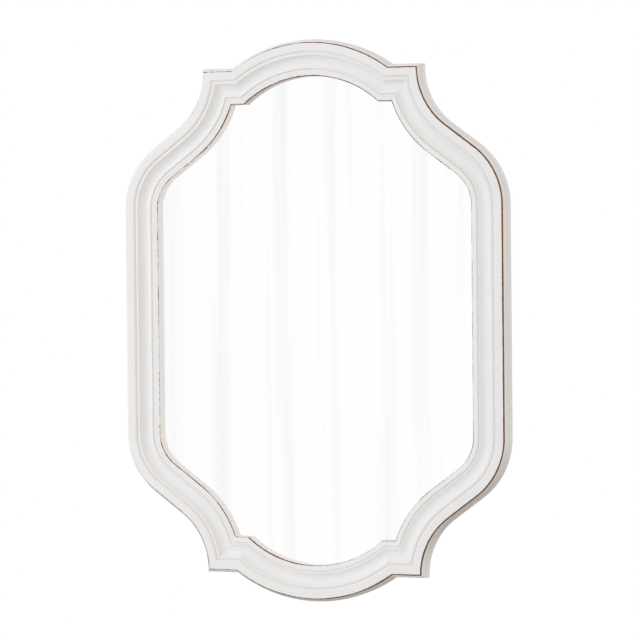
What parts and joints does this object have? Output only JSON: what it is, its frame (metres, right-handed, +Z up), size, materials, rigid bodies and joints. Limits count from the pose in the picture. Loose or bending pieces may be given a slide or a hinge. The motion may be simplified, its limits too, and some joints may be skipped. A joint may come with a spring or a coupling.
{
  "type": "scalloped wall mirror",
  "caption": "Upright wall mirror in a scalloped, mitred moulding with arched ends, ledges and S-curved shoulders, hung on two swinging rings.",
  "frame": {"origin": "centre of the part's box: on the mirror's upright centre line, at mid height, half way between the face of the moulding and the wall", "axes": "+Z up as hung, the mirror faces -Y, +Y towards the wall, +X to the right seen from the front"},
  "size_m": [0.66, 0.039, 0.914],
  "materials": {
    "painted_moulding": "fibreboard moulding in satin off-white paint, rubbed through to a brown base coat on the edges",
    "beech": "pressed beech, raw",
    "silvered_glass": "float glass silvered on the back",
    "packing_card": "corrugated card, raw",
    "hardboard": "hardboard, smooth face out",
    "zinc_plated_steel": "bright zinc plate",
    "rubber": "moulded rubber, matt"
  },
  "bodies": {
    "frame": {"top_arch": "painted_moulding", "bottom_arch": "painted_moulding", "left_stile": "painted_moulding", "right_stile": "painted_moulding", "upper_left_ledge": "painted_moulding", "upper_right_ledge": "painted_moulding", "lower_left_ledge": "painted_moulding", "lower_right_ledge": "painted_moulding", "mitre_biscuits": "beech", "mirror_glass": "silvered_glass", "front_packing_card": "packing_card", "rear_packing_card": "packing_card", "backing_board": "hardboard", "setting_pads": "rubber", "turn_button_screws": "zinc_plated_steel", "left_hanger_strap": "zinc_plated_steel", "right_hanger_strap": "zinc_plated_steel", "hanger_screws": "zinc_plated_steel", "wall_bumpers": "rubber"},
    "top_left_turn_button": {"top_left_turn_button": "zinc_plated_steel"},
    "bottom_left_turn_button": {"bottom_left_turn_button": "zinc_plated_steel"},
    "left_upper_turn_button": {"left_upper_turn_button": "zinc_plated_steel"},
    "left_lower_turn_button": {"left_lower_turn_button": "zinc_plated_steel"},
    "top_right_turn_button": {"top_right_turn_button": "zinc_plated_steel"},
    "bottom_right_turn_button": {"bottom_right_turn_button": "zinc_plated_steel"},
    "right_upper_turn_button": {"right_upper_turn_button": "zinc_plated_steel"},
    "right_lower_turn_button": {"right_lower_turn_button": "zinc_plated_steel"},
    "left_hanger_ring": {"left_hanger_ring": "zinc_plated_steel"},
    "right_hanger_ring": {"right_hanger_ring": "zinc_plated_steel"}
  },
  "joints": [
    {"name": "top_left_turn", "type": "hinge", "parent": "frame", "child": "top_left_turn_button", "pos_m": [-0.05534, 0.0142, 0.40528], "axis": [0, 1, 0], "continuous": true},
    {"name": "bottom_left_turn", "type": "hinge", "parent": "frame", "child": "bottom_left_turn_button", "pos_m": [-0.05534, 0.0142, -0.40528], "axis": [0, 1, 0], "continuous": true},
    {"name": "left_upper_turn", "type": "hinge", "parent": "frame", "child": "left_upper_turn_button", "pos_m": [-0.2865, 0.0142, 0.06179], "axis": [0, 1, 0], "continuous": true},
    {"name": "left_lower_turn", "type": "hinge", "parent": "frame", "child": "left_lower_turn_button", "pos_m": [-0.2865, 0.0142, -0.06179], "axis": [0, 1, 0], "continuous": true},
    {"name": "top_right_turn", "type": "hinge", "parent": "frame", "child": "top_right_turn_button", "pos_m": [0.05534, 0.0142, 0.40528], "axis": [0, 1, 0], "continuous": true},
    {"name": "bottom_right_turn", "type": "hinge", "parent": "frame", "child": "bottom_right_turn_button", "pos_m": [0.05534, 0.0142, -0.40528], "axis": [0, 1, 0], "continuous": true},
    {"name": "right_upper_turn", "type": "hinge", "parent": "frame", "child": "right_upper_turn_button", "pos_m": [0.2865, 0.0142, 0.06179], "axis": [0, 1, 0], "continuous": true},
    {"name": "right_lower_turn", "type": "hinge", "parent": "frame", "child": "right_lower_turn_button", "pos_m": [0.2865, 0.0142, -0.06179], "axis": [0, 1, 0], "continuous": true},
    {"name": "left_ring_swing", "type": "hinge", "parent": "frame", "child": "left_hanger_ring", "pos_m": [-0.305, 0.01626, 0.14955], "axis": [-1, 0, 0], "range_deg": [0, 175]},
    {"name": "right_ring_swing", "type": "hinge", "parent": "frame", "child": "right_hanger_ring", "pos_m": [0.305, 0.01626, 0.14955], "axis": [-1, 0, 0], "range_deg": [0, 175]}
  ]
}
